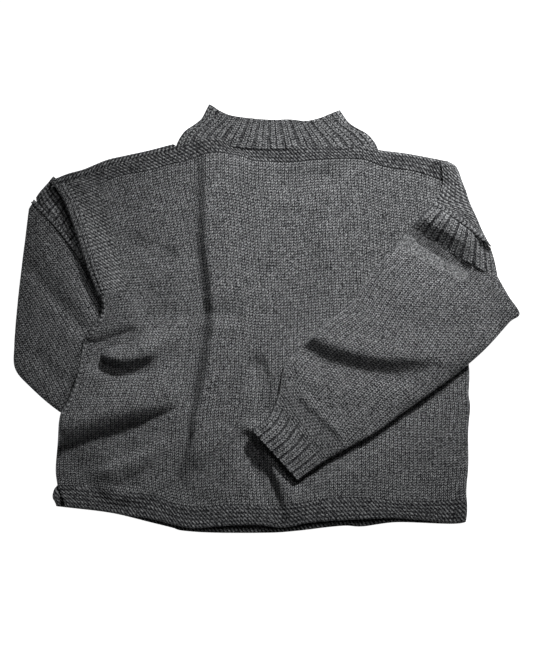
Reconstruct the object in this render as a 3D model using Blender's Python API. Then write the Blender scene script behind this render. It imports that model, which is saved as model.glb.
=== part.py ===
"""A hand-knit pullover laid flat, one sleeve folded over its front and one folded under its back.

Plan points are in drawing units, x to the right and y down, as the garment lies under the camera;
one drawing unit is UNIT metres. Heights are metres above the surface that the pullover lies on.
Left and right are the picture's.
"""

import bmesh
import bpy
import numpy as np

# Driving sizes, in metres
BODY_WIDTH = 0.587
WALL = 0.003
SEAM = 0.0003
AIR = 0.0015
RIB_RISE = 0.0013
GARTER_RISE = 0.0011
EDGE_RADIUS = 0.0085
LEAST_EDGE = 0.0009
BODY_LOFT = 0.0040
COLLAR_LOFT = 0.0020
SLEEVE_PUFF = 0.0022
CUFF_PUFF = 0.0015
SLEEVE_TOP_PUFF = 0.0045
UNDER_CLEARANCE = 0.0008
OVER_CLEARANCE = 0.0006
COLLAR_RIM_RISE = 0.0015
TURN_HEIGHT = 0.0168
YOKE_TURN_HEIGHT = 0.0112

# The drawing: the body spans this many units, and this point is the origin
BODY_SPAN = 410
CENTRE = (264.5, 318.6)
UNIT = BODY_WIDTH / BODY_SPAN

# How fine the solids are
EDGE_COLUMNS = (0, 0.006, 0.018, 0.036, 0.059, 0.082)
BODY_COLUMNS = 22
FAR_EDGE_COLUMNS = (0.988, 0.996, 1)
PANEL_ROWS = 21
BAND_RIDGES = 3
WELT_RIDGES = 4
SLEEVE_RINGS = 12
SLEEVE_ACROSS = 12
CUFF_RINGS = 4
LEFT_CUFF_RINGS = 3
LEFT_CUFF_ACROSS = 8
CUFF_RIBS = 7
TOP_RIBS = 7
STRIP_RIBS = 14
STRIP_ACROSS = 3
COLLAR_RIBS = 11
POINTS_PER_RIB = 4
TURN_LEGS = (0, 0.35, 0.7, 0.88, 1)
LINE_STEPS = 12
PATH_STEPS = 6
OUTLINE_STEPS = 4

# Colours of the yarn, by how it is knitted
PLAIN_COLOUR = (0.095, 0.098, 0.102)
GARTER_COLOUR = (0.085, 0.088, 0.092)
RIB_COLOUR = (0.088, 0.091, 0.095)

# Body outline and the lines across it, each from left to right or from top to bottom
SHOULDER_LINE = [
    (50, 188), (60, 184), (75, 180), (89, 175), (110, 166.5), (128, 161.5), (150, 156), (171, 151),
    (184, 146.5), (193, 142), (208, 138), (221, 139), (235, 145), (266, 147), (307, 146),
    (342, 147), (356, 145), (378, 149.5), (405, 153), (430, 157.5), (447, 161), (470, 166),
]
BAND_EDGE = [
    (60, 199), (80, 192), (98, 185), (120, 176), (146, 171), (172, 164), (189, 160), (207, 154),
    (222, 153), (241, 156), (255, 160.6), (291, 162), (313, 160), (347, 158.6), (365, 160),
    (385, 167), (412, 171), (430, 176), (447, 182), (470, 190),
]
WELT_TOP = [
    (50, 486), (76, 486), (111, 490), (152, 495.5), (173, 503), (200, 507), (230, 504.5),
    (284, 505), (328, 498.5), (369, 498), (403, 501), (438, 501), (475, 497),
]
FRONT_HEM = [
    (50, 504), (66, 506.5), (96, 510), (127, 515), (151, 518.6), (177, 525.5), (195, 528),
    (229, 525.5), (259, 525), (282, 527.5), (307, 523), (327, 521), (365, 519), (394, 518),
    (423, 520), (456, 523), (475, 517),
]
BACK_HEM = [
    (48, 503), (57, 506.5), (96, 511), (120, 515), (148, 522), (172, 528), (183, 531), (215, 533),
    (270, 533), (298, 531), (327, 527.5), (346, 526), (363, 526.7), (398, 522.5), (456, 524),
    (475, 518),
]
LEFT_EDGE = [
    (51.5, 180), (57, 190), (63.5, 201), (70.5, 218), (77.5, 238), (86, 264), (96, 290),
    (102.5, 302), (102, 314), (91, 331), (84, 343), (79, 370), (69, 399), (61, 414), (58, 440),
    (55.5, 468), (57, 484),
]
FRONT_WELT_CORNER = [(58.5, 489), (65, 505), (66, 530)]
BACK_WELT_CORNER = [(54, 489), (52.5, 497), (56, 506), (58, 530)]
RIGHT_EDGE = [
    (445, 158), (446, 182), (452, 230), (458, 300), (469, 365), (469, 394), (470.5, 407),
    (468.6, 430), (468.6, 465), (466.7, 490), (467.5, 510), (465, 530),
]
ARMHOLE_BAND_SPAN = 0.104
CHAINED_SPAN = 0.03
ARMHOLE_BAND_END = 297
SLANT_FADE = 2.5
MIDDLE_Y = 300
SETTLING_PASSES = 12
TURNED_TOP = 378

# How far heights take to change, in drawing units
PUFF_REACH = 20
LIFT_REACH = 38
LIFT_RAMP = 30
OVER_REACH = 9
OVER_START = 13
OVER_RAMP = 24
FOLD_FADE = 0.22

# Sleeves as rungs across the flattened tube, from the armhole to the wrist:
# x and y of the rung's upper end, then x and y of its lower end
RIGHT_TOP = [(433, 204.5, 491, 247.5), (421, 216, 495, 261), (410, 228, 497, 275)]
RIGHT_SLEEVE = [
    (410, 228, 497, 275), (401, 236, 518, 312), (381, 260, 493, 341), (365, 281, 468, 364),
    (351, 303, 436, 389), (328, 321, 402, 413), (304, 343, 374, 433), (285, 364, 347, 448),
    (279, 392, 327, 459),
]
RIGHT_CUFF = [(279, 392, 327, 459), (269, 415, 312, 470), (252, 430, 298, 480)]
LEFT_SLEEVE = [
    (34, 201, 28.5, 209), (53, 223, 25, 238), (70, 244, 21, 270), (87, 268, 17, 306),
    (101, 292, 14, 345), (114, 314, 15, 369), (127, 338, 31, 388), (141, 365, 58, 411),
    (156, 394, 92, 431),
]
LEFT_CUFF = [(156, 394, 92, 431), (170, 417, 109, 452), (184, 440, 126, 472)]

# The ribbed strip between the left armhole and the left sleeve: its sleeve side, then its body side
LEFT_TOP = [
    (38, 194, 48.5, 180.5), (41, 206.5, 57, 188), (54, 221.5, 66, 203), (64.5, 235.5, 73, 221),
    (73, 246.5, 79, 237), (80, 256, 83, 252),
]
# Where the back turns over to the front: the turned part's inner edge, then the fold itself
RIGHT_TURN = [
    (446.5, 163, 452, 163.5), (448, 173, 458, 170), (449, 183, 461.5, 180), (440, 194, 466, 191),
    (433.5, 204.5, 470, 203), (447, 214.5, 476, 216), (462, 225.6, 482, 230),
    (476, 236, 487, 240), (487, 244.1, 491.5, 247),
]
YOKE_FOLD = [(53, 179.5), (68, 173.5), (84, 169), (106, 160), (125, 155.5), (147, 150.7), (173, 144)]
YOKE_SPAN = (53, 174)
YOKE_LAST_STEP = 8
TURN_RAMP = 0.3
BESIDE_BACK = 2
LATEST_TURN_START = 0.6
COLLAR_RIM = [
    (209, 104), (214, 107), (221, 111.5), (233, 116), (257, 119), (275, 120), (289, 119.5),
    (306, 121), (320, 118), (330, 114), (340, 110),
]
COLLAR_FOOT = (175, 379)
# How far the collar's sides bulge, by the share of the way up it, and how quickly that fades inwards
COLLAR_BULGE = [(0, 0), (0.2, 4.5), (0.43, 5.3), (0.57, 0.5), (0.7, -2.6), (0.85, -1.5), (1, 0)]
BULGE_POWER = 3

# Folds of the front: path, rise, and reach to the left and to the right of the path
FOLDS = [
    ([(211, 150), (213, 240), (219, 318), (209, 385), (198, 440), (180, 510)], 0.0085, 11, 42),
    ([(198, 200), (202, 318), (192, 380), (180, 440), (168, 500)], -0.0035, 14, 10),
    ([(98, 346), (112, 352), (130, 354), (156, 343), (186, 322)], 0.0075, 14, 13),
    ([(86, 345), (97, 359), (109, 367), (123, 370), (142, 367), (166, 356)], -0.0060, 9, 9),
    ([(60, 418), (100, 408), (132, 400), (176, 388)], 0.0080, 12, 14),
    ([(50, 450), (96, 437), (120, 431), (146, 424), (170, 415), (200, 398)], -0.0060, 11, 12),
    ([(92, 463), (140, 454), (178, 430)], 0.0070, 12, 14),
    ([(104, 484), (138, 480), (151, 474), (165, 466), (190, 438)], -0.0050, 10, 10),
    ([(296, 240), (318, 289), (311, 312), (291, 330)], -0.0035, 14, 14),
    ([(254, 368), (266, 395), (258, 420)], -0.0030, 13, 13),
    ([(326, 180), (315, 235), (302, 285)], 0.0040, 13, 16),
    ([(256, 446), (272, 482), (284, 510)], -0.0030, 12, 12),
]


# Curves and distances in the drawing

def spline(table, count):
    """count rows along the smooth curves that pass through a table's columns."""
    rows = np.asarray(table, float)
    ends = np.vstack([2 * rows[0] - rows[1], rows, 2 * rows[-1] - rows[-2]])
    at = np.linspace(0, len(rows) - 1, count)
    first = np.minimum(at.astype(int), len(rows) - 2)
    part = (at - first)[:, None]
    a, b, c, d = (ends[first + step] for step in range(4))
    bend = (2 * a - 5 * b + 4 * c - d) * part**2 + (3 * b - a - 3 * c + d) * part**3
    return (2 * b + (c - a) * part + bend) / 2


def y_on(line, x):
    """The y of a line across the body at each x."""
    dense = spline(line, LINE_STEPS * len(line))
    return np.interp(x, dense[:, 0], dense[:, 1])


def x_on(line, y):
    """The x of a line down the body at each y."""
    dense = spline(line, LINE_STEPS * len(line))
    return np.interp(y, dense[:, 1], dense[:, 0])


def smooth(value):
    value = np.clip(value, 0, 1)
    return value * value * (3 - 2 * value)


def distance_to(path, x, y):
    """(distance, side, share of the way) of each point to a path, the side positive on its right."""
    nearest = np.full(np.shape(x), np.inf)
    side, way = np.zeros(np.shape(x)), np.zeros(np.shape(x))
    for number, ((ax, ay), (bx, by)) in enumerate(zip(path[:-1], path[1:])):
        dx, dy = bx - ax, by - ay
        along = np.clip(((x - ax) * dx + (y - ay) * dy) / (dx * dx + dy * dy), 0, 1)
        off_x, off_y = x - ax - along * dx, y - ay - along * dy
        distance = np.hypot(off_x, off_y)
        closer = distance < nearest
        nearest = np.where(closer, distance, nearest)
        side = np.where(closer, off_x * dy - off_y * dx, side)
        way = np.where(closer, (number + along) / (len(path) - 1), way)
    return nearest, side, way


def depth_inside(rungs, x, y):
    """How far each point is inside the outline of a tube's rungs, negative outside it."""
    rows = spline(rungs, OUTLINE_STEPS * len(rungs))
    outline = np.vstack([rows[:, :2], rows[::-1, 2:], rows[:1, :2]])
    distance = distance_to(outline, x, y)[0]
    crossings = np.zeros(np.shape(x), int)
    for (ax, ay), (bx, by) in zip(outline[:-1], outline[1:]):
        spans = (ay > y) != (by > y)
        if ay != by:
            crossings += spans & (x < ax + (y - ay) * (bx - ax) / (by - ay))
    return np.where(crossings % 2, distance, -distance)


# Heights

def rounded(distance, radius=EDGE_RADIUS / UNIT):
    """0 at an edge, rising on a quarter circle to 1 at the radius."""
    share = np.clip(np.asarray(distance) / radius, 0, 1)
    return np.sqrt(1 - (1 - share) ** 2)


def under_lift(x, y):
    """How far the left sleeve, folded underneath, lifts the body."""
    whole = LEFT_SLEEVE[:-1] + LEFT_CUFF
    height = 2 * WALL + AIR + SLEEVE_PUFF + UNDER_CLEARANCE
    return height * smooth((depth_inside(whole, x, y) + LIFT_REACH) / LIFT_RAMP)


def fold_rise(x, y):
    """The folds and hollows of the front, over its even loft, fading out at both ends."""
    total = np.zeros(np.shape(x))
    for path, rise, left, right in FOLDS:
        distance, side, way = distance_to(spline(path, PATH_STEPS * len(path)), x, y)
        fade = smooth(way / FOLD_FADE) * smooth((1 - way) / FOLD_FADE)
        total += rise * fade * np.exp(-((distance / np.where(side > 0, right, left)) ** 2))
    return total


def front_under(x, y):
    """The inner side of the front, before it turns down at its edges."""
    loft = np.maximum(BODY_LOFT + fold_rise(x, y), 0)
    return under_lift(x, y) + WALL + SEAM + loft


def body_edge(x, y, hem):
    """0 on the free edges of the body and 1 away from them."""
    free_top = np.where(x > TURNED_TOP, y - y_on(SHOULDER_LINE, x), np.inf)
    sides = [x - x_on(LEFT_EDGE, y), x_on(RIGHT_EDGE, y) - x, free_top, y_on(hem, x) - y]
    return rounded(np.minimum.reduce(sides))


def over_body(x, y):
    """The height that the right sleeve rests at: clear of the front, and down to the floor beside it."""
    highest = np.zeros(np.shape(x))
    for step_x, step_y in ((0, 0), (1, 0), (-1, 0), (0, 1), (0, -1)):
        top = front_under(x + OVER_REACH * step_x, y + OVER_REACH * step_y) + WALL
        highest = np.maximum(highest, top)
    past_edge = x - x_on(RIGHT_EDGE, y)
    return (highest + OVER_CLEARANCE) * (1 - smooth((past_edge - OVER_START) / OVER_RAMP))


# The body's grid

def body_x(across, y, left_edge):
    """The x of each wale: across is 0 on the left edge and 1 on the right."""
    left, right = left_edge[0][0], RIGHT_EDGE[-1][0]
    plain = left + (right - left) * across
    from_left = (x_on(left_edge, y) - left) * (1 - across) ** SLANT_FADE
    from_right = (x_on(RIGHT_EDGE, y) - right) * across**SLANT_FADE
    return plain + from_left + from_right


def body_plan(across, down, hem, corner):
    """Plan points of a grid: down is 0 to 1 in the top band, to 2 in the panel, to 3 in the welt."""
    across, down = np.meshgrid(across, down)
    left_edge = LEFT_EDGE + corner
    lines = (SHOULDER_LINE, BAND_EDGE, WELT_TOP, hem)
    x = body_x(across, np.full(across.shape, MIDDLE_Y), left_edge)
    for _ in range(SETTLING_PASSES):
        ys = [y_on(line, x) for line in lines]
        y = np.where(
            down < 1,
            ys[0] + (ys[1] - ys[0]) * down,
            np.where(
                down < 2,
                ys[1] + (ys[2] - ys[1]) * (down - 1),
                ys[2] + (ys[3] - ys[2]) * (down - 2),
            ),
        )
        x = (x + body_x(across, y, left_edge)) / 2
    return x, y


# Building

def world(x, y, z):
    x, y, z = np.broadcast_arrays(x, y, z)
    return np.stack([(x - CENTRE[0]) * UNIT, (CENTRE[1] - y) * UNIT, z], axis=-1)


def wall(name, outer, inner, colour, keep=None, ring=False):
    """A closed wall between two grids of points: keep masks its cells, and ring joins its columns."""
    rows, columns = outer.shape[:2]
    cells = columns if ring else columns - 1
    keep = np.ones((rows - 1, cells), bool) if keep is None else keep
    sheet = bmesh.new()
    layers = [{}, {}]

    def vertex(layer, row, column):
        key = (row, column % columns)
        if key not in layers[layer]:
            layers[layer][key] = sheet.verts.new((outer, inner)[layer][key])
        return layers[layer][key]

    def used(row, column):
        if ring:
            column %= cells
        return 0 <= row < rows - 1 and 0 <= column < cells and keep[row, column]

    for row, column in zip(*np.nonzero(keep)):
        corners = [(row, column), (row + 1, column), (row + 1, column + 1), (row, column + 1)]
        beside = [(row, column - 1), (row + 1, column), (row, column + 1), (row - 1, column)]
        for half in (corners[:3], [corners[0], *corners[2:]]):
            sheet.faces.new([vertex(0, *corner) for corner in half])
            sheet.faces.new([vertex(1, *corner) for corner in reversed(half)])
        for start, end, neighbour in zip(corners, corners[1:] + corners[:1], beside):
            if not used(*neighbour):
                rim = [vertex(0, *end), vertex(0, *start), vertex(1, *start), vertex(1, *end)]
                sheet.faces.new(rim)
    bmesh.ops.recalc_face_normals(sheet, faces=sheet.faces[:])
    mesh = bpy.data.meshes.new(name)
    sheet.to_mesh(mesh)
    sheet.free()
    mesh.materials.append(yarn(name, colour))
    made = bpy.data.objects.new(name, mesh)
    GARMENT.objects.link(made)
    mesh.shade_smooth()
    return made


def yarn(name, colour):
    made = bpy.data.materials.new(name + "_yarn")
    made.use_nodes = True
    shader = made.node_tree.nodes["Principled BSDF"]
    shader.inputs["Base Color"].default_value = (*colour, 1)
    shader.inputs["Roughness"].default_value = 0.95
    shader.inputs["Metallic"].default_value = 0
    return made


def stitched_rows(count, start, end):
    """Rows down a garter piece, two for each ridge, and which of them lie on a crest."""
    down = np.linspace(start, end, 2 * count + 1)
    return down, np.arange(2 * count + 1) % 2 == 1


def halved(grid):
    """The grid with a straight row halfway between each two."""
    rows = np.repeat(grid, 2, axis=0)[:-1]
    rows[1::2] = (grid[1:] + grid[:-1]) / 2
    return rows


def moved(x, y, shifts):
    """The plan points with rows or columns moved off a seam."""
    x, y = x.copy(), y.copy()
    for rows, columns, move_x, move_y in shifts:
        x[rows, columns] += move_x
        y[rows, columns] += move_y
    return x, y


def front_piece(name, plan, crests, colour, keep=None, shifts=()):
    """A piece of the front layer on a grid of wales and rows."""
    x, y = moved(*plan, shifts)
    edge = body_edge(x, y, FRONT_HEM)
    low = under_lift(x, y) + WALL + SEAM
    under = low + (front_under(x, y) - low) * edge
    top = low + LEAST_EDGE + (front_under(x, y) + WALL - low - LEAST_EDGE) * edge
    top = top + GARTER_RISE * crests * edge
    return wall(name, world(x, y, top), world(x, y, under), colour, keep)


def back_piece(name, plan, colour, shifts=()):
    """A piece of the back layer, flat below and turned up a little at its free edges."""
    x, y = moved(*plan, shifts)
    under = under_lift(x, y) + WALL / 2 * (1 - body_edge(x, y, BACK_HEM))
    top = under_lift(x, y) + WALL
    return wall(name, world(x, y, top), world(x, y, under), colour)


def shortened(rows, start, end):
    """Rungs with the first and the last moved inwards by these distances."""
    for here, beside, gap in ((0, 1, start), (-1, -2, end)):
        step = rows[beside] - rows[here]
        rows[here] += step * gap / np.hypot(step[::2], step[1::2]).mean()
    return rows


def tube(name, rungs, rings, fractions, base, puff, colour, relief=None, trim=(0.0, 0.0)):
    """A flattened tube through its rungs: a visible upper side and a lower side that rests on the base."""
    rows = shortened(spline(rungs, rings), *trim)
    width = np.hypot(rows[:, 2] - rows[:, 0], rows[:, 3] - rows[:, 1])[:, None]
    inset = (WALL / UNIT) / width
    relief = np.zeros(len(fractions)) if relief is None else relief

    def side(share, thinner, sign, raised):
        x = rows[:, :1] + (rows[:, 2:3] - rows[:, :1]) * share
        y = rows[:, 1:2] + (rows[:, 3:] - rows[:, 1:2]) * share
        from_edge = np.minimum(share, 1 - share) * width
        height = 2 * WALL + AIR + puff * smooth(from_edge / PUFF_REACH)
        half = height / 2 * rounded(from_edge)
        floor = base(x, y)
        if thinner:
            half = np.maximum(half - WALL, SEAM / 2)
            half[:, 0] = half[:, -1] = 0
        return x, y, floor + height / 2 + sign * half + raised * rounded(from_edge)

    outer_share = np.broadcast_to(fractions, (len(rows), len(fractions)))
    inner_share = inset + outer_share * (1 - 2 * inset)
    grids = []
    for share, thinner in ((outer_share, False), (inner_share, True)):
        upper = world(*side(share, thinner, 1, 0 if thinner else relief))
        lower = world(*side(share, thinner, -1, 0))
        grids.append(np.concatenate([upper, lower[:, -2:0:-1]], axis=1))
    return wall(name, grids[0], grids[1], colour, ring=True)


def turned(name, rows, height, colour, lower_start=0.0):
    """A strip that turns over a fold: its upper side, the fold, and a lower side on the floor."""
    inner_x, inner_y, fold_x, fold_y = (rows[:, column : column + 1] for column in range(4))
    width = np.hypot(fold_x - inner_x, fold_y - inner_y)
    share = np.array(TURN_LEGS)
    grids = []
    for thinner in (False, True):
        reach = 1 - (WALL / UNIT / width if thinner else 0)
        sides = []
        for sign, start in ((1, 0), (-1, lower_start)):
            along = start + (reach - start) * share
            x = inner_x + (fold_x - inner_x) * along
            y = inner_y + (fold_y - inner_y) * along
            half = height / 2 * rounded((1 - along) * width)
            if thinner:
                half = np.maximum(half - WALL, SEAM / 2)
                half[:, -1] = 0
            sides.append(world(x, y, height / 2 + sign * half))
        upper, lower = sides
        grids.append(np.concatenate([upper, lower[:, -2::-1]], axis=1))
    return wall(name, grids[0], grids[1], colour)


# The pieces

def body_columns():
    """Places across the body, closer at its edges, and the one where the left armhole band ends."""
    beyond = np.linspace(ARMHOLE_BAND_SPAN, 1, BODY_COLUMNS)[:-1]
    return np.concatenate([EDGE_COLUMNS, beyond, FAR_EDGE_COLUMNS]), len(EDGE_COLUMNS)


def make_body():
    """The front and back layers. Returns the front's top edge and its left edge, in plan."""
    gap = SEAM / UNIT / 2
    across, band_column = body_columns()
    panel_down = np.linspace(1, 2, PANEL_ROWS + 1)
    panel = body_plan(across, panel_down, FRONT_HEM, FRONT_WELT_CORNER)
    band_row = int(np.argmin(np.abs(panel[1][:, band_column // 2] - ARMHOLE_BAND_END)))
    every, first, last = slice(None), slice(0, 1), slice(-1, None)

    keep = np.ones((PANEL_ROWS, len(across) - 1), bool)
    keep[:band_row, :band_column] = False
    beside_band = (slice(0, band_row), slice(band_column, band_column + 1), gap, 0)
    below_band = (slice(band_row, band_row + 1), slice(0, band_column + 1), 0, gap)
    shifts = [(first, every, 0, gap), (last, every, 0, -gap), beside_band, below_band]
    front_piece("front", panel, 0, PLAIN_COLOUR, keep, shifts)

    band_down, crests = stitched_rows(BAND_RIDGES, 0, 1)
    band = body_plan(across, band_down, FRONT_HEM, FRONT_WELT_CORNER)
    beside = [grid[:, band_column:] for grid in band]
    shifts = [(last, every, 0, -gap), (first, every, 0, gap), (every, first, gap, 0)]
    front_piece("top_band_front", beside, crests[:, None], GARTER_COLOUR, shifts=shifts)

    armhole = [
        np.concatenate([head[:-1, : band_column + 1], halved(body[: band_row + 1, : band_column + 1])])
        for head, body in zip(band, panel)
    ]
    crests = (np.arange(len(armhole[0])) % 2 == 1)[:, None] * (across[: band_column + 1] > CHAINED_SPAN)
    shifts = [(every, last, -gap, 0), (last, every, 0, -gap), (first, every, 0, gap)]
    front_piece("armhole_band_left", armhole, crests, GARTER_COLOUR, shifts=shifts)

    welt_down, crests = stitched_rows(WELT_RIDGES, 2, 3)
    welt = body_plan(across, welt_down, FRONT_HEM, FRONT_WELT_CORNER)
    below_panel = [(first, every, 0, gap)]
    front_piece("welt_front", welt, crests[:, None], GARTER_COLOUR, shifts=below_panel)

    back_down = np.concatenate([[0], panel_down])
    back = body_plan(across, back_down, FRONT_HEM, FRONT_WELT_CORNER)
    back_piece("back", back, PLAIN_COLOUR, [(last, every, 0, -gap), (first, every, 0, gap)])
    welt_down, _ = stitched_rows(WELT_RIDGES // 2, 2, 3)
    welt = body_plan(across, welt_down, BACK_HEM, BACK_WELT_CORNER)
    for welt_line, panel_line in zip(welt, panel):
        welt_line[0] = panel_line[-1]
    back_piece("welt_back", welt, GARTER_COLOUR, below_panel)

    left_x = np.concatenate([armhole[0][:, 0], panel[0][band_row + 1 :, 0]])
    left_y = np.concatenate([armhole[1][:, 0], panel[1][band_row + 1 :, 0]])
    return band[0][0], band[1][0], left_x, left_y


def rib_pattern(ribs):
    """Even shares across a ribbed piece, and the rise of its ribs at each."""
    fractions = np.linspace(0, 1, ribs * POINTS_PER_RIB + 1)
    return fractions, RIB_RISE * np.isin(np.arange(len(fractions)) % POINTS_PER_RIB, (1, 2))


def make_collar(top_x, top_y):
    """A flattened ribbed tube, its foot on the neck line and its rim above it."""
    gap = SEAM / UNIT
    fractions, ribs = rib_pattern(COLLAR_RIBS)
    foot_x = COLLAR_FOOT[0] + (COLLAR_FOOT[1] - COLLAR_FOOT[0]) * fractions
    half_step = (foot_x[1] - foot_x[0]) / 2
    neck_line = [np.interp(foot_x + aside, top_x, top_y) for aside in (-half_step, 0, half_step)]
    foot_y = np.min(neck_line, axis=0) - gap
    rim = spline(COLLAR_RIM, LINE_STEPS * len(COLLAR_RIM))
    rim_x = rim[0, 0] + (rim[-1, 0] - rim[0, 0]) * fractions
    rim_y = np.interp(rim_x, rim[:, 0], rim[:, 1])
    up, bulge = (np.array(column)[:, None] for column in zip(*COLLAR_BULGE))
    to_side = 2 * fractions - 1
    x = foot_x + (rim_x - foot_x) * up + bulge * to_side * np.abs(to_side) ** BULGE_POWER
    y = foot_y + (rim_y - foot_y) * up
    grids = []
    for thinner in (False, True):
        inset = WALL / UNIT / (x[:, -1:] - x[:, :1]) if thinner else 0
        share = inset + fractions * (1 - 2 * inset)
        gx = x[:, :1] + (x[:, -1:] - x[:, :1]) * share
        gy = np.array([np.interp(a, b, c) for a, b, c in zip(gx, x, y)])
        from_edge = np.minimum(gx - x[:, :1], x[:, -1:] - gx)
        height = 2 * WALL + SEAM + COLLAR_LOFT + COLLAR_RIM_RISE * up
        half = height / 2 * rounded(from_edge)
        if thinner:
            half = np.maximum(half - WALL, SEAM / 2)
            half[:, 0] = half[:, -1] = 0
        raised = 0 if thinner else ribs * rounded(from_edge)
        upper = world(gx, gy, height / 2 + half + raised)
        lower = world(gx, gy, height / 2 - half)
        grids.append(np.concatenate([upper, lower[:, -2:0:-1]], axis=1))
    wall("collar", grids[0], grids[1], RIB_COLOUR, ring=True)


def sleeve_fractions(count):
    """Shares across a sleeve, closer together at its two edges."""
    return (1 - np.cos(np.pi * np.linspace(0, 1, count + 1))) / 2


def flat_floor(x, y):
    return np.zeros(np.shape(x))


def make_sleeves():
    gap = SEAM / UNIT
    plain = sleeve_fractions(SLEEVE_ACROSS)
    tube(
        "sleeve_right", RIGHT_SLEEVE, SLEEVE_RINGS, plain, over_body, SLEEVE_PUFF, PLAIN_COLOUR,
        trim=(gap, gap),
    )
    fractions, ribs = rib_pattern(CUFF_RIBS)
    tube("cuff_right", RIGHT_CUFF, CUFF_RINGS, fractions, over_body, CUFF_PUFF, RIB_COLOUR, ribs)
    top_fractions, top_ribs = rib_pattern(TOP_RIBS)
    tube(
        "sleeve_top_right", RIGHT_TOP, CUFF_RINGS, top_fractions, over_body, SLEEVE_TOP_PUFF,
        RIB_COLOUR, top_ribs, trim=(0, gap),
    )
    tube(
        "sleeve_left", LEFT_SLEEVE, SLEEVE_RINGS, plain, flat_floor, SLEEVE_PUFF, PLAIN_COLOUR,
        trim=(0, gap),
    )
    tube(
        "cuff_left", LEFT_CUFF, LEFT_CUFF_RINGS, sleeve_fractions(LEFT_CUFF_ACROSS), flat_floor,
        CUFF_PUFF, RIB_COLOUR,
    )


def make_left_top(left_x, left_y):
    """The ribbed strip at the head of the left sleeve, low between the sleeve and the armhole."""
    gap = SEAM / UNIT
    rows = spline(LEFT_TOP, STRIP_RIBS * POINTS_PER_RIB + 1)
    sleeve_edge = spline(LEFT_SLEEVE, SLEEVE_RINGS)
    rows[:, 0] = np.maximum(rows[:, 0], np.interp(rows[:, 1], sleeve_edge[:, 1], sleeve_edge[:, 0]) + gap)
    beside = left_y > rows[0, 3]
    body_x_here = np.interp(rows[:, 3], left_y[beside], left_x[beside]) - gap
    rows[:, 2] = np.minimum(rows[:, 2], body_x_here)
    share = np.linspace(0, 1, STRIP_ACROSS + 1)
    x = rows[:, :1] + (rows[:, 2:3] - rows[:, :1]) * share
    y = rows[:, 1:2] + (rows[:, 3:] - rows[:, 1:2]) * share
    ribs = np.isin(np.arange(len(rows)) % POINTS_PER_RIB, (1, 2))[:, None]
    top = WALL + RIB_RISE * ribs + 0 * x
    wall("sleeve_top_left", world(x, y, top), world(x, y, 0), RIB_COLOUR)


def make_turned_edges(top_x, top_y):
    """The back's right armhole band and its left yoke, which both turn over to the front."""
    rows = np.array(RIGHT_TURN, float)
    reach = np.linspace(0, 1, len(rows))[:, None]
    height = YOKE_TURN_HEIGHT + (TURN_HEIGHT - YOKE_TURN_HEIGHT) * smooth(reach / TURN_RAMP)
    beside_back = x_on(RIGHT_EDGE, rows[:, 1]) + BESIDE_BACK - rows[:, 0]
    lower_start = np.clip(beside_back / (rows[:, 2] - rows[:, 0]), 0, LATEST_TURN_START)[:, None]
    turned("armhole_band_right", rows, height, GARTER_COLOUR, lower_start)
    fold = spline(YOKE_FOLD, LINE_STEPS * len(YOKE_FOLD))
    start, end = YOKE_SPAN
    seam_x = np.append(top_x[(top_x > start) & (top_x < end - YOKE_LAST_STEP)], end)
    seam_y = np.interp(seam_x, top_x, top_y) - SEAM / UNIT
    fold_x = fold[0, 0] + (fold[-1, 0] - fold[0, 0]) * (seam_x - seam_x[0]) / np.ptp(seam_x)
    fold_y = np.interp(fold_x, fold[:, 0], fold[:, 1])
    rows = np.column_stack([seam_x, seam_y, fold_x, fold_y])
    turned("yoke_back", rows, YOKE_TURN_HEIGHT, GARTER_COLOUR)


for old in list(bpy.data.objects):
    bpy.data.objects.remove(old)
GARMENT = bpy.data.collections.new("pullover")
bpy.context.scene.collection.children.link(GARMENT)
top_x, top_y, left_x, left_y = make_body()
make_collar(top_x, top_y)
make_sleeves()
make_left_top(left_x, left_y)
make_turned_edges(top_x, top_y)
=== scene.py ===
"""The look of a hand-knit pullover laid flat: every face that shows is knitted over its solid's form.

Plan points are in drawing units, x to the right and y down, as the garment lies under the camera;
one drawing unit is UNIT metres. Left and right are the picture's.
"""

import math

import bpy
import numpy as np
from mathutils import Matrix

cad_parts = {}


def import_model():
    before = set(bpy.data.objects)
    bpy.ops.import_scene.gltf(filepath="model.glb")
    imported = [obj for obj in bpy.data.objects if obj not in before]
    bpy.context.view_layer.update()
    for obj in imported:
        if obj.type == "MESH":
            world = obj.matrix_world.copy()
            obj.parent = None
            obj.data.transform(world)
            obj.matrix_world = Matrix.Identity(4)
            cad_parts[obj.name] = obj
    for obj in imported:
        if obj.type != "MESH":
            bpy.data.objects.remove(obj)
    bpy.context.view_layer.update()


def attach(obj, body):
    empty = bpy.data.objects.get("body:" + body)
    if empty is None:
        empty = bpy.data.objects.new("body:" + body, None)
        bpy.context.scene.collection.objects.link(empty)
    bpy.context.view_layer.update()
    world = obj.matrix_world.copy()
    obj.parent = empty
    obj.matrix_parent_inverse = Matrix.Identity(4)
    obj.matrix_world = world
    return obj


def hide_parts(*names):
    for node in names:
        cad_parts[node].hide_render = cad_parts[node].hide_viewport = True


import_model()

# Sizes of the solids, in metres, with the lowest that anything lies, and of the drawing
WALL = 0.003
SEAM = 0.0003
AIR = 0.0015
LOWEST = 0.0004
EDGE_RADIUS = 0.0085
LEAST_EDGE = 0.0009
BODY_LOFT = 0.0040
COLLAR_LOFT = 0.0020
SLEEVE_PUFF = 0.0022
CUFF_PUFF = 0.0015
SLEEVE_TOP_PUFF = 0.0045
UNDER_CLEARANCE = 0.0008
OVER_CLEARANCE = 0.0006
COLLAR_RIM_RISE = 0.0015
TURN_HEIGHT = 0.0168
YOKE_TURN_HEIGHT = 0.0112
CENTRE = (264.5, 318.6)
UNIT = 0.587 / 410

# The picture's size in drawing units, the camera's distance and the height seen at the drawing's scale
PICTURE = (533, 666)
CAMERA_DISTANCE = 2.6
SHARP_HEIGHT = 0.006

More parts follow.
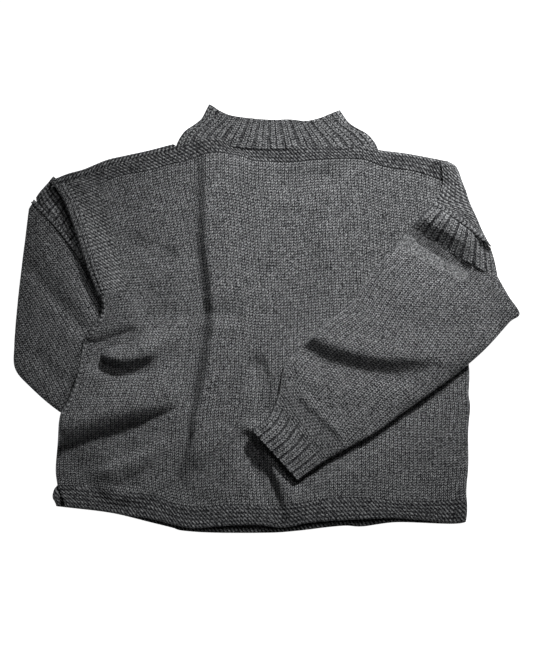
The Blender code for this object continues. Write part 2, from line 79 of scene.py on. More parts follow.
# Stitches: the width of a wale and the height of a course in drawing units
WALE = 3.88
COURSE = 2.75
GARTER_RIDGE = 4.2
BODY_WALES = 106
PANEL_COURSES = 122
BACK_COURSES = 140
BAND_RIDGES = 4
WELT_RIDGES = 5
ARMHOLE_WALES = 11
ARMHOLE_RIDGES = BAND_RIDGES + 26
TURN_RIDGES = 6
YOKE_RIDGES = 2
CUFF_RIBS = 7
COLLAR_RIBS = 13
COLLAR_COURSES = 13
STRIP_RIBS = 14
STRIP_COURSES = 8
V_SLOPE = 0.8
SCALLOP = 4.0
SCALLOP_COURSES = 3
CHAIN_SLOPE = 0.45
LOWER_COLUMNS = 24
SEAM_COLUMNS = LOWER_COLUMNS // 2

# Wool: scales of its patterns to the metre, how strongly each tells, and its lightest and darkest fibres
FLECK_SCALE = 620.0
FIBRE_SCALE = 2600.0
CLOUD_SCALE = 40.0
# How strongly low places between the yarns are painted darker, as painted shade
PAINTED_STITCH_SHADE = 0.95
FLECK_TONE = 1.5
CLOUD_TONE = 0.10
CHANCE_TONE = 0.18
LIGHT_WOOL = (0.56, 0.57, 0.58)
DARK_WOOL = (0.010, 0.010, 0.012)

# Body outline and the lines across it, each from left to right or from top to bottom
SHOULDER_LINE = [
    (50, 188), (60, 184), (75, 180), (89, 175), (110, 166.5), (128, 161.5), (150, 156), (171, 151),
    (184, 146.5), (193, 142), (208, 138), (221, 139), (235, 145), (266, 147), (307, 146),
    (342, 147), (356, 145), (378, 149.5), (405, 153), (430, 157.5), (447, 161), (470, 166),
]
BAND_EDGE = [
    (60, 199), (80, 192), (98, 185), (120, 176), (146, 171), (172, 164), (189, 160), (207, 154),
    (222, 153), (241, 156), (255, 160.6), (291, 162), (313, 160), (347, 158.6), (365, 160),
    (385, 167), (412, 171), (430, 176), (447, 182), (470, 190),
]
WELT_TOP = [
    (50, 486), (76, 486), (111, 490), (152, 495.5), (173, 503), (200, 507), (230, 504.5),
    (284, 505), (328, 498.5), (369, 498), (403, 501), (438, 501), (475, 497),
]
FRONT_HEM = [
    (50, 504), (66, 506.5), (96, 510), (127, 515), (151, 518.6), (177, 525.5), (195, 528),
    (229, 525.5), (259, 525), (282, 527.5), (307, 523), (327, 521), (365, 519), (394, 518),
    (423, 520), (456, 523), (475, 517),
]
BACK_HEM = [
    (48, 503), (57, 506.5), (96, 511), (120, 515), (148, 522), (172, 528), (183, 531), (215, 533),
    (270, 533), (298, 531), (327, 527.5), (346, 526), (363, 526.7), (398, 522.5), (456, 524),
    (475, 518),
]
LEFT_EDGE = [
    (51.5, 180), (57, 190), (63.5, 201), (70.5, 218), (77.5, 238), (86, 264), (96, 290),
    (102.5, 302), (102, 314), (91, 331), (84, 343), (79, 370), (69, 399), (61, 414), (58, 440),
    (55.5, 468), (57, 484),
]
FRONT_WELT_CORNER = [(58.5, 489), (65, 505), (66, 530)]
BACK_WELT_CORNER = [(54, 489), (52.5, 497), (56, 506), (58, 530)]
RIGHT_EDGE = [
    (445, 158), (446, 182), (452, 230), (458, 300), (469, 365), (469, 394), (470.5, 407),
    (468.6, 430), (468.6, 465), (466.7, 490), (467.5, 510), (465, 530),
]
ARMHOLE_BAND_END = 297
BAND_OVERLAP = 6
# How far inside the right sleeve's outline the stitches of the front end, and its plain part begins
SHOWN_UNDER_SLEEVE = 9
PLAIN_UNDER_SLEEVE = 3
SLANT_FADE = 2.5
MIDDLE_Y = 300
SETTLING_PASSES = 12
TURNED_TOP = 378

# How far heights take to change, in drawing units
PUFF_REACH = 20
LIFT_REACH = 38
LIFT_RAMP = 30
OVER_REACH = 9
OVER_START = 13
OVER_RAMP = 24
SUNK_REACH = 7.0

# Sleeves as rungs across the flattened tube: x and y of the upper end, then of the lower end.
# The right sleeve's ribbed head reaches a little over the plain part, so its ribs end in a ragged line.
RIGHT_TOP = [(433, 204.5, 491, 247.5), (421, 216, 495, 261), (407.5, 231.5, 498.5, 279)]
RIGHT_SLEEVE = [
    (410, 228, 497, 275), (405.5, 232, 509, 296), (401, 237, 520, 313.5), (395, 244, 510, 322),
    (381, 260, 493, 341), (365, 281, 468, 364), (351, 303, 436, 389), (328, 321, 402, 413),
    (304, 343, 374, 433), (285, 364, 347, 448), (279, 392, 327, 459),
]
RIGHT_CUFF = [(279, 392, 327, 459), (269, 415, 312, 470), (252, 430, 298, 480)]
LEFT_SLEEVE = [
    (34, 201, 28.5, 209), (53, 223, 25, 238), (70, 244, 21, 270), (87, 268, 17, 306),
    (101, 292, 14, 345), (114, 314, 15, 369), (127, 338, 31, 388), (141, 365, 58, 411),
    (156, 394, 92, 431),
]
LEFT_CUFF = [(156, 394, 92, 431), (170, 417, 109, 452), (184, 440, 126, 472)]
LEFT_TOP = [
    (38, 194, 49, 180.5), (41, 206.5, 57.5, 188), (54, 221.5, 67, 203), (64.5, 235.5, 74, 221),
    (74, 248, 80.5, 237.5), (82, 262, 86.5, 257), (92, 280, 94.5, 277), (101, 303, 104, 302),
]
RIGHT_TURN = [
    (440, 160.6, 448, 161.2), (441.5, 166, 455, 165.5), (442.5, 175, 459, 172),
    (442.5, 184, 462, 181), (439, 194, 466, 191),
    (433.5, 204.5, 470, 203), (447, 214.5, 476, 216), (462, 225.6, 482, 230),
    (476, 236, 487, 240), (487, 244.1, 491.5, 247),
]
YOKE_FOLD = [(53, 179.5), (68, 173.5), (84, 169), (106, 160), (125, 155.5), (147, 150.7), (173, 144)]
YOKE_END = 174
COLLAR_RIM = [
    (209, 104), (214, 107), (221, 111.5), (233, 116), (257, 119), (275, 120), (289, 119.5),
    (306, 121), (320, 118), (330, 114), (340, 110),
]
COLLAR_FOOT = (175, 379)
SIDE_CHAIN = [(104, 298), (103.5, 314), (93, 331), (86.5, 343), (81.5, 370), (71.5, 399), (63.5, 414)]
RIGHT_CHAIN = [(433, 204), (450, 214.5), (465, 225), (476, 234), (484, 241)]
RIGHT_CHAIN_HEIGHT = 0.0225
LEFT_CHAIN = [(32.5, 201), (53.5, 222.5), (70.5, 243.5), (86, 266), (98, 291)]
LEFT_CHAIN_HEIGHT = 0.0078
# The corner of the back's welt that curls up, at the picture's left
CURL = (55, 498)
CURL_REACH = (4.5, 8)
CURL_RISE = 0.0065
# The ribbed strip at the left armhole: how far it is tucked under on each side, and its height there
STRIP_TUCKS = (4, 6)
STRIP_BY_SLEEVE = [(-4, 0.001), (1.5, 0.0065), (5, 0.0068), (9, 0.004), (14, 0.002)]
STRIP_BY_BODY = [(-6, 0.0005), (2, 0.0008), (6, 0.003), (10, 0.0068)]
# The roll at the head of the right sleeve, by the share of the way along its ribs
ROLL = 0.0125
ROLL_PROFILE = [(0, 0), (0.12, 0.8), (0.3, 1), (0.5, 0.85), (0.75, 0), (1, -0.75)]
ROLL_DROP = 0.0020
# How far the turned armhole band is sunk where it meets the top band, and how much the cuff's edge lifts
TURN_SUNK = 0.0058
CUFF_LIFT = 0.0030
# How far the collar's sides bulge, by the share of the way up it, and how quickly that fades inwards
COLLAR_BULGE = [(0, 0), (0.2, 4.5), (0.43, 5.3), (0.57, 0.5), (0.7, -2.6), (0.85, -1.5), (1, 0)]
BULGE_POWER = 3

# Folds of the front: path, rise, and reach to the left and to the right of the path
FOLDS = [
    ([(206, 100), (207, 170), (208, 240), (215, 318), (206, 385), (195, 440), (180, 510)], 0.0120, 7, 44),
    ([(194, 200), (198, 318), (190, 380), (180, 440), (168, 500)], -0.0055, 13, 8),
    ([(94, 350), (114, 357), (132, 357), (154, 348), (188, 326)], 0.0100, 8, 9),
    ([(70, 322), (84, 345), (95, 360), (108, 370), (123, 374.5), (144, 371), (172, 358)], -0.0110, 7, 8),
    ([(80, 335), (95, 355), (108, 364), (124, 368), (142, 365), (160, 356)], -0.0050, 3, 3),
    ([(46, 380), (70, 368), (90, 356), (107, 347), (126, 339), (160, 324)], -0.0165, 6, 9),
    ([(16, 438), (52, 428), (100, 415), (132, 407), (184, 390)], 0.0150, 14, 19),
    ([(8, 484), (50, 471), (96, 456), (120, 448), (146, 438), (170, 425), (208, 398)], -0.0175, 20, 17),
    ([(40, 452), (76, 443), (100, 435), (124, 429), (150, 421), (190, 402)], -0.0045, 4, 4),
    ([(84, 478), (120, 463), (150, 449), (186, 422)], 0.0080, 8, 9),
    ([(104, 490), (138, 480), (160, 467), (178, 450), (204, 418)], -0.0110, 9, 8),
    ([(318, 240), (319, 285), (309, 316), (278, 352)], -0.0070, 11, 9),
    ([(254, 350), (263, 392), (254, 432)], -0.0095, 9, 8),
    ([(338, 160), (330, 195), (321, 240), (306, 310)], 0.0055, 10, 14),
    ([(266, 176), (306, 184), (350, 172)], -0.0075, 9, 12),
    ([(216, 146), (255, 154), (304, 157)], -0.0080, 8, 8),
    ([(120, 238), (150, 250), (182, 262)], -0.0065, 9, 9),
    ([(120, 324), (186, 312), (250, 316)], -0.0035, 8, 8),
    ([(238, 426), (253, 450), (268, 480), (284, 516)], -0.0120, 10, 8),
    ([(250, 418), (271, 464), (293, 524)], 0.0095, 7, 15),
    ([(428, 168), (444, 180), (436, 204)], -0.0090, 9, 9),
    ([(304, 489), (277, 464), (246, 428)], -0.0040, 9, 6),
    ([(490, 350), (443, 392), (402, 420), (365, 443), (317, 469), (290, 492)], -0.0040, 5, 13),
]
RIGHT_SLEEVE_FOLDS = [
    ([(270, 316), (306, 331), (330, 342), (365, 352), (400, 356), (490, 355)], 0.0105, 9, 21),
    ([(270, 326), (306, 350), (330, 363), (360, 371), (400, 375), (480, 373)], -0.0060, 15, 9),
    ([(294, 388), (316, 409), (348, 442)], 0.0040, 5, 5),
    ([(352, 206), (396, 236), (433, 259), (460, 273), (490, 287)], -0.0105, 19, 15),
    ([(440, 285), (400, 312), (356, 330)], 0.0030, 14, 14),
    ([(506, 318), (470, 350), (430, 380), (392, 406)], 0.0050, 12, 12),
]
LEFT_SLEEVE_FOLDS = [
    ([(16, 252), (55, 298), (96, 345)], -0.0035, 6, 8),
    ([(30, 232), (60, 275), (96, 318)], 0.0022, 9, 9),
    ([(28, 340), (50, 372), (78, 392)], -0.0030, 9, 9),
    ([(62, 222), (78, 248), (90, 276), (99, 298), (100, 322)], -0.0055, 7, 7),
    ([(104, 300), (101, 330), (86, 352), (77, 385), (64, 418)], 0.0042, 6, 8),
]
# Share of a fold's path over which it fades at each end, and how deep a hollow may sink into the lift
FOLD_FADE = 0.22
DEEPEST_FOLD = 0.5
# Height of the hem's edge as a share of the layer's, and how far in its rounding reaches
HEM_STAND = 0.6
HEM_RADIUS = 3
# Slow unevenness of the body and of the tubes: its height, how far apart its hollows are, and its seed
BODY_UNEVEN = (0.0003, 26, 5)
TUBE_UNEVEN = (0.00025, 24, 9)
# How far down the free edge of a body piece is turned, and how far in and back a cuff's rim, row by row
SKIRT = 0.8 * WALL
LIP = [(0.0012, -0.5), (0.0024, 0.6), (0.0026, 4), (0.0026, 12)]


# Curves and distances in the drawing

def spline(table, count):
    """count rows along the smooth curves that pass through a table's columns."""
    rows = np.asarray(table, float)
    ends = np.vstack([2 * rows[0] - rows[1], rows, 2 * rows[-1] - rows[-2]])
    at = np.linspace(0, len(rows) - 1, count)
    first = np.minimum(at.astype(int), len(rows) - 2)
    part = (at - first)[:, None]
    a, b, c, d = (ends[first + step] for step in range(4))
    bend = (2 * a - 5 * b + 4 * c - d) * part**2 + (3 * b - a - 3 * c + d) * part**3
    return (2 * b + (c - a) * part + bend) / 2


def y_on(line, x):
    dense = spline(line, 12 * len(line))
    return np.interp(x, dense[:, 0], dense[:, 1])


def x_on(line, y):
    dense = spline(line, 12 * len(line))
    return np.interp(y, dense[:, 1], dense[:, 0])


def smooth(value):
    value = np.clip(value, 0, 1)
    return value * value * (3 - 2 * value)


def distance_to(path, x, y):
    """(distance, side, share of the way) of each point to a path, the side positive on its right."""
    nearest = np.full(np.shape(x), np.inf)
    side, way = np.zeros(np.shape(x)), np.zeros(np.shape(x))
    for number, ((ax, ay), (bx, by)) in enumerate(zip(path[:-1], path[1:])):
        dx, dy = bx - ax, by - ay
        along = np.clip(((x - ax) * dx + (y - ay) * dy) / (dx * dx + dy * dy), 0, 1)
        off_x, off_y = x - ax - along * dx, y - ay - along * dy
        distance = np.hypot(off_x, off_y)
        closer = distance < nearest
        nearest = np.where(closer, distance, nearest)
        side = np.where(closer, off_x * dy - off_y * dx, side)
        way = np.where(closer, (number + along) / (len(path) - 1), way)
    return nearest, side, way


def depth_inside(rungs, x, y):
    """How far each point is inside the outline of a tube's rungs, negative outside it."""
    rows = spline(rungs, 4 * len(rungs))
    outline = np.vstack([rows[:, :2], rows[::-1, 2:], rows[:1, :2]])
    distance = distance_to(outline, x, y)[0]
    crossings = np.zeros(np.shape(x), int)
    for (ax, ay), (bx, by) in zip(outline[:-1], outline[1:]):
        spans = (ay > y) != (by > y)
        if ay != by:
            crossings += spans & (x < ax + (y - ay) * (bx - ax) / (by - ay))
    return np.where(crossings % 2, distance, -distance)


# Heights

def rounded(distance, radius=EDGE_RADIUS / UNIT):
    share = np.clip(np.asarray(distance) / radius, 0, 1)
    return np.sqrt(1 - (1 - share) ** 2)


def under_lift(x, y):
    """How far the left sleeve, folded underneath, lifts the body."""
    whole = LEFT_SLEEVE[:-1] + LEFT_CUFF
    height = 2 * WALL + AIR + SLEEVE_PUFF + UNDER_CLEARANCE
    return height * smooth((depth_inside(whole, x, y) + LIFT_REACH) / LIFT_RAMP)


def fold_rise(x, y, folds=FOLDS):
    """Folds and hollows, fading out at both ends of their paths."""
    total = np.zeros(np.shape(x))
    for path, rise, left, right in folds:
        distance, side, way = distance_to(spline(path, 6 * len(path)), x, y)
        fade = smooth(way / FOLD_FADE) * smooth((1 - way) / FOLD_FADE)
        total += rise * fade * np.exp(-((distance / np.where(side > 0, right, left)) ** 2))
    return total


def front_under(x, y):
    lift = under_lift(x, y)
    return lift + WALL + SEAM + np.maximum(BODY_LOFT + fold_rise(x, y), -DEEPEST_FOLD * lift)


def body_edge(x, y, hem):
    """0 on the free edges of the body and 1 away from them."""
    free_top = np.where(x > TURNED_TOP, y - y_on(SHOULDER_LINE, x), np.inf)
    sides = [x - x_on(LEFT_EDGE, y), x_on(RIGHT_EDGE, y) - x, free_top]
    at_hem = HEM_STAND + (1 - HEM_STAND) * rounded(y_on(hem, x) - y, HEM_RADIUS)
    return np.minimum(rounded(np.minimum.reduce(sides)), at_hem)


def over_body(x, y):
    """The height that the right sleeve rests at."""
    highest = np.zeros(np.shape(x))
    for step_x, step_y in ((0, 0), (1, 0), (-1, 0), (0, 1), (0, -1)):
        top = front_under(x + OVER_REACH * step_x, y + OVER_REACH * step_y) + WALL
        highest = np.maximum(highest, top)
    past_edge = x - x_on(RIGHT_EDGE, y)
    return (highest + OVER_CLEARANCE) * (1 - smooth((past_edge - OVER_START) / OVER_RAMP))


def front_top(x, y):
    """The outer side of the front layer, without its stitches."""
    edge = body_edge(x, y, FRONT_HEM)
    low = under_lift(x, y) + WALL + SEAM
    return low + LEAST_EDGE + (front_under(x, y) + WALL - low - LEAST_EDGE) * edge, edge


# The body's grid

def body_x(across, y, left_edge):
    left, right = left_edge[0][0], RIGHT_EDGE[-1][0]
    plain = left + (right - left) * across
    from_left = (x_on(left_edge, y) - left) * (1 - across) ** SLANT_FADE
    from_right = (x_on(RIGHT_EDGE, y) - right) * across**SLANT_FADE
    return plain + from_left + from_right


def body_plan(across, down, hem, corner):
    """Plan points: down is 0 to 1 in the top band, to 2 in the panel, to 3 in the welt."""
    left_edge = LEFT_EDGE + corner
    lines = (SHOULDER_LINE, BAND_EDGE, WELT_TOP, hem)
    x = body_x(across, np.full(across.shape, MIDDLE_Y), left_edge)
    for _ in range(SETTLING_PASSES):
        ys = [y_on(line, x) for line in lines]
        y = np.where(
            down < 1,
            ys[0] + (ys[1] - ys[0]) * down,
            np.where(
                down < 2,
                ys[1] + (ys[2] - ys[1]) * (down - 1),
                ys[2] + (ys[3] - ys[2]) * (down - 2),
            ),
        )
        x = (x + body_x(across, y, left_edge)) / 2
    return x, y


def world(x, y, z):
    x, y, z = np.broadcast_arrays(x, y, z)
    return np.stack([(x - CENTRE[0]) * UNIT, (CENTRE[1] - y) * UNIT, z], axis=-1)


# The wool is painted darker where it is low, as painted shade between the yarns.
# Stitches: how far a place stands out of the fabric, from about 0 between the yarns to 1 on them.
# u counts wales and v counts courses, or ridges in garter rows.

def uneven(x, y, length, seed, waves=14):
    """Smooth unevenness from about -1 to 1 whose hollows are about length apart."""
    random = np.random.default_rng(seed)
    total = np.zeros(np.shape(x))
    for _ in range(waves):
        turn, phase = random.uniform(0, 2 * np.pi, 2)
        pitch = 2 * np.pi / (length * random.uniform(0.7, 1.5))
        total += np.sin((x * np.cos(turn) + y * np.sin(turn)) * pitch + phase)
    return total / np.sqrt(waves)


def wave(turns):
    """0 at each whole turn and 1 halfway between them."""
    return 0.5 - 0.5 * np.cos(2 * np.pi * turns)


def each_stitch(u, v, seed):
    """A chance value from -1 to 1 for each stitch."""
    chance = np.random.default_rng(seed).uniform(-1, 1, (257, 263))
    return chance[np.floor(u).astype(int) % 257, np.floor(v).astype(int) % 263]


class Knit:
    """What the ways of knitting share: how far stitches stand out, and a wider swell under them."""

    relief = 0.0010
    rows = 2

    @staticmethod
    def reach(u, v):
        return 0 * u

    @staticmethod
    def swell(u, v):
        return 0 * u


class Plain(Knit):
    """The smooth side of plain knitting: two legs to a stitch, low between the wales."""

    @staticmethod
    def out(u, v):
        return wave(2 * u) * (0.15 + 0.65 * wave(v)) + 0.3 * wave(u) + 0.35 * wave(v) - 0.25

    @staticmethod
    def reach(u, v):
        return V_SLOPE * (np.abs(2 * (u % 1) - 1) - 0.5)


class Garter(Knit):
    """Garter rows: a ridge of slanting bumps for each v."""

    relief = 0.0014
    rows = 4

    @staticmethod
    def out(u, v):
        return 0.15 * wave(v) + 0.85 * wave(u - v) * (0.55 + 0.45 * wave(v)) - 0.05


class Ribbed(Knit):
    """Ribs of two knit wales, with a narrow hollow of two purl wales between them."""

    @staticmethod
    def wale(u):
        return ((u / 4) % 1 - 0.09) / 0.41

    @staticmethod
    def rise(u):
        from_hollow = 0.5 - np.abs((u / 4) % 1 - 0.5)
        return smooth((from_hollow - 0.01) / 0.10)

    @staticmethod
    def out(u, v):
        rise = Ribbed.rise(u)
        knit, hollow = 0.1 + 0.9 * Plain.out(Ribbed.wale(u), v), 0.02 + 0.15 * wave(v)
        return rise * knit + (1 - rise) * hollow

    @staticmethod
    def reach(u, v):
        wale = Ribbed.wale(u)
        return np.where((wale > 0) & (wale < 2), Plain.reach(wale, v), 0.5 * V_SLOPE)

    @staticmethod
    def swell(u, v):
        return 0.0011 * (Ribbed.rise(u) - 0.7)


class SoftRibbed(Ribbed):
    """The same ribs, worn softer, with shallow hollows."""

    @staticmethod
    def out(u, v):
        rise = Ribbed.rise(u)
        knit, hollow = 0.1 + 0.9 * Plain.out(Ribbed.wale(u), v), 0.22 + 0.2 * wave(v)
        return rise * knit + (1 - rise) * hollow


class Cuffed(Ribbed):
    """Ribs that grow out of plain knitting, three of its wales to a rib."""

    @staticmethod
    def share(v):
        return smooth((v - 0.5) / 3.5)

    @staticmethod
    def out(u, v):
        share = Cuffed.share(v)
        return share * Ribbed.out(u, v) + (1 - share) * Plain.out(0.75 * u, v)

    @staticmethod
    def reach(u, v):
        share = Cuffed.share(v)
        return share * Ribbed.reach(u, v) + (1 - share) * Plain.reach(0.75 * u, v)

    @staticmethod
    def swell(u, v):
        return Cuffed.share(v) * Ribbed.swell(u, v)


class Edged(Knit):
    """An armhole border: chained seam wales at its edge and garter rows beyond them."""

    relief = 0.0014
    rows = 4
    chained = 4

    @staticmethod
    def out(u, v):
        return np.where(u < Edged.chained, Plain.out(u, v), Garter.out(u, v))

    @staticmethod
    def reach(u, v):
        return np.where(u < Edged.chained, Plain.reach(u, v), 0)

    @staticmethod
    def swell(u, v):
        return 0.0020 * wave(u / 1.5) * (u < 3)


class Smooth(Knit):
    """Fabric that nothing shows of."""

    relief = 0.0
    rows = 1

    @staticmethod
    def out(u, v):
        return 0 * u + 0.5


def stood(knit, u, v, edge):
    """(height to add, how far out) of each place, flatter at a rolled edge."""
    out = knit.out(u, v)
    height = knit.relief * (out - 0.5) * (1 + 0.25 * each_stitch(u, v, 3))
    return height * (0.3 + 0.7 * edge) + knit.swell(u, v), out


# Meshes

def skirted(grid, drop=0.0):
    """The grid with its outermost rows and columns repeated, their last coordinate lowered by drop."""
    wider = np.pad(grid, ((1, 1), (1, 1), (0, 0)), mode="edge")
    wider[0, :, -1] -= drop
    wider[-1, :, -1] -= drop
    wider[1:-1, 0, -1] -= drop
    wider[1:-1, -1, -1] -= drop
    return wider


def seamed(grid):
    """A tube's grid, whose last columns are on its lower side, laid open along a seam there."""
    turned = np.roll(grid, SEAM_COLUMNS, axis=1)
    return np.concatenate([turned, turned[:, :1]], axis=1)


def mesh_piece(name, points, stitch, out, material, slot, keep=None, ring=False, faces_down=False):
    """A piece on a grid of points, with stitch coordinates for its yarn and a flat map for baking."""
    if ring:
        points, stitch, out = seamed(points), seamed(stitch), seamed(out)
    points[..., 2] = np.maximum(points[..., 2], LOWEST)
    rows, columns = points.shape[:2]
    keep = np.ones((rows - 1, columns - 1), bool) if keep is None else keep
    row, column = np.nonzero(keep)
    first, second = row * columns + column, (row + 1) * columns + column
    corners = np.stack([first, second, second + 1, first + 1], axis=1)
    flat = points.reshape(-1, 3)
    spread = flat[corners]
    area = np.linalg.norm(np.cross(spread[:, 2] - spread[:, 0], spread[:, 3] - spread[:, 1]), axis=1)
    solid = area > 1e-9
    corners, row, column = corners[solid], row[solid], column[solid]
    across = flat[corners[:, 2]] - flat[corners[:, 0]]
    along = flat[corners[:, 3]] - flat[corners[:, 1]]
    outwards = np.where(ring, flat[corners[:, 0], 2] - flat[:, 2].mean(), 1)
    rises = np.cross(across, along)[..., 2] * outwards
    turned = (rises.sum() < 0) != faces_down
    used, index = np.unique(corners.reshape(-1), return_inverse=True)
    corners = index.reshape(-1, 4)
    mesh = bpy.data.meshes.new(name)
    mesh.vertices.add(len(used))
    mesh.vertices.foreach_set("co", flat[used].reshape(-1).astype(np.float32))
    mesh.loops.add(corners.size)
    mesh.loops.foreach_set("vertex_index", corners.reshape(-1).astype(np.int32))
    mesh.polygons.add(len(corners))
    mesh.polygons.foreach_set("loop_start", np.arange(0, corners.size, 4, dtype=np.int32))
    mesh.polygons.foreach_set("use_smooth", np.ones(len(corners), bool))
    mesh.update(calc_edges=True)
    if turned:
        mesh.flip_normals()
    bake_u = np.stack([column, column, column + 1, column + 1], axis=1) / columns
    bake_v = np.stack([row, row + 1, row + 1, row], axis=1) / rows
    bake = mesh.uv_layers.new(name="OFBake")
    bake.data.foreach_set("uv", np.stack([bake_u, bake_v], axis=-1).reshape(-1).astype(np.float32))
    places = stitch.reshape(-1, 2)[used][corners]
    layer = mesh.uv_layers.new(name="stitch")
    layer.data.foreach_set("uv", places.reshape(-1).astype(np.float32))
    depth = mesh.attributes.new("out", "FLOAT", "POINT")
    depth.data.foreach_set("value", out.reshape(-1)[used].astype(np.float32))
    mesh.materials.append(material)
    made = bpy.data.objects.new(name, mesh)
    bpy.context.scene.collection.objects.link(made)
    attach(made, "root")
    return made


def body_piece(
        name, wales, courses, down_of, knit, look, corner, hem, per_wale=4, keep=None, top=front_top):
    """A piece of the front or back layer between two wales, with down_of placing its courses."""
    u = np.linspace(wales[0], wales[1], int(round((wales[1] - wales[0]) * per_wale)) + 1)
    v = np.linspace(0, courses, courses * knit.rows + 1)
    u, v = np.meshgrid(u, v)
    at = np.clip(v - knit.reach(u, v), 0, courses)
    at[0], at[-1] = 0, courses
    place = down_of(at)
    x, y = body_plan(u / BODY_WALES, place, hem, corner)
    z, edge = top(x, y)
    lift, out = stood(knit, u, v, edge)
    # Plain rows pulled back to the panel's first course are sunk and painted dark: painted shade where
    # they tuck under the band.
    tucked = (at <= 0) & (knit is Plain)
    lift, out = np.where(tucked, -knit.relief, lift), np.where(tucked, -0.2, out)
    height, length, seed = BODY_UNEVEN
    z = z + lift + height * uneven(x, y, length, seed)
    stitch = np.stack([u, v], axis=-1)
    if keep is not None:
        mask = keep(x, y, u)[:-1, :-1]
        return mesh_piece(name, world(x, y, z), stitch, out, *look, keep=mask)
    below = top is back_bottom
    points = skirted(world(x, y, z), -SKIRT if below else SKIRT)
    out = skirted(out[..., None])[..., 0]
    return mesh_piece(name, points, skirted(stitch), out, *look, faces_down=below)


def tube_piece(
        name, rungs, base, puff, knit, look, ribs=None, per_wale=4, lip=False, folds=(), raised=None,
        scallop=0.0):
    """A flattened tube: its upper side stitch by stitch, its lower side plainer.

    raised(share, way) gives a further rise of the upper side: share is across, way is along.
    scallop is how far the hollows between its ribs end before them.
    """
    dense = spline(rungs, 24 * len(rungs))
    middle = (dense[:, :2] + dense[:, 2:]) / 2
    travelled = np.concatenate([[0], np.cumsum(np.hypot(*np.diff(middle, axis=0).T))])
    length = travelled[-1]
    courses = int(round(length / COURSE))
    width = np.hypot(dense[:, 2] - dense[:, 0], dense[:, 3] - dense[:, 1])
    wales = ribs * 4 if ribs else int(np.ceil(width.max() / WALE))
    u = np.linspace(0, wales, wales * per_wale + 1)
    v = np.linspace(0, courses, courses * knit.rows + 1)
    u, v = np.meshgrid(u, v)
    along = np.clip(v - knit.reach(u, v), 0, courses)
    along[0], along[-1] = 0, courses
    along *= length / courses
    along -= scallop * (1 - Ribbed.rise(u)) * smooth((v - courses) / SCALLOP_COURSES + 1)

    def rung(at):
        return [np.interp(at, travelled, dense[:, k]) for k in range(4)]

    def side(share, at, sign, inset=0.0):
        ux, uy, lx, ly = rung(at)
        from_edge = np.minimum(share, 1 - share) * np.hypot(lx - ux, ly - uy)
        height = 2 * WALL + AIR + puff * smooth(from_edge / PUFF_REACH)
        half = np.maximum(height / 2 * rounded(from_edge) - inset, 0)
        x, y = ux + (lx - ux) * share, uy + (ly - uy) * share
        return x, y, base(x, y) + height / 2 + sign * half, rounded(from_edge)

    ux, uy, lx, ly = rung(along)
    share = u / wales if ribs else np.minimum(u * WALE / np.hypot(lx - ux, ly - uy), 1)
    x, y, z, edge = side(share, along, 1)
    lift, out = stood(knit, u, v, edge)
    height, pitch, seed = TUBE_UNEVEN
    z = z + lift + height * uneven(x, y, pitch, seed) + fold_rise(x, y, folds) * edge
    if raised:
        z = z + raised(share, along / length) * edge
    upper = world(x, y, z)
    below = (1 + np.cos(np.pi * np.linspace(0, 1, LOWER_COLUMNS + 2)[1:-1])) / 2
    low_u = np.broadcast_to(wales + (1 - below) * wales, (len(v), len(below)))
    low_v = np.broadcast_to(v[:, :1], low_u.shape)
    lower = world(*side(np.broadcast_to(below, low_u.shape), low_v / courses * length, -1)[:3])
    points = np.concatenate([upper, lower], axis=1)
    low_stitch = np.stack([low_u, low_v], axis=-1)
    stitch = np.concatenate([np.stack([u, v], axis=-1), low_stitch], axis=1)
    out = np.concatenate([out, np.full(low_u.shape, 0.5)], axis=1)
    if lip:
        turned_in = []
        for inset, back in LIP:
            ends = side(share[-1], np.full(u.shape[1], length - back), 1, inset)
            low = side(below, np.full(len(below), length - back), -1, inset)
            turned_in.append(np.concatenate([world(*ends[:3]), world(*low[:3])]))
        points = np.concatenate([points, np.array(turned_in)])
        more = np.repeat(stitch[-1:], len(turned_in), axis=0)
        more[..., 1] += np.arange(1, len(turned_in) + 1)[:, None]
        stitch = np.concatenate([stitch, more])
        # The rim's turned-in rows are painted darker, as painted shade inside the cuff's opening.
        out = np.concatenate([out, np.repeat(out[-1:], len(turned_in), axis=0) * 0.6])
    return mesh_piece(name, points, stitch, out, *look, ring=True)


def chain_piece(name, path, width, pitch, rise, base, look):
    """A chained seam: a rope of slanting loops along a path of plan points."""
    line = spline(path, 12 * len(path))
    travelled = np.concatenate([[0], np.cumsum(np.hypot(*np.diff(line, axis=0).T))])
    loops = int(round(travelled[-1] / pitch))
    across, v = np.meshgrid(np.linspace(-1, 1, 9), np.linspace(0, loops, loops * 4 + 1))
    at = np.clip(v - CHAIN_SLOPE * (np.abs(across) - 0.5), 0, loops) / loops * travelled[-1]
    x, y = (np.interp(at, travelled, line[:, k]) for k in range(2))
    ahead = np.minimum(at + 1, travelled[-1])
    dx = np.interp(ahead, travelled, line[:, 0]) - np.interp(ahead - 2, travelled, line[:, 0])
    dy = np.interp(ahead, travelled, line[:, 1]) - np.interp(ahead - 2, travelled, line[:, 1])
    span = np.maximum(np.hypot(dx, dy), 1e-6)
    x, y = x - dy / span * across * width / 2, y + dx / span * across * width / 2
    # How far the loops stand out; it also paints the wool darker between the loops, down the rope's
    # middle and at its sides, as painted shade.
    out = wave(v) * (1 - 0.5 * (np.abs(across) < 0.2)) * np.sqrt(1 - across**2)
    z = base(x, y) + rise * np.sqrt(1 - across**2) * (0.4 + 0.6 * out) - 0.0004
    return mesh_piece(name, world(x, y, z), np.stack([across + 1, v], axis=-1), out, *look)


# Materials

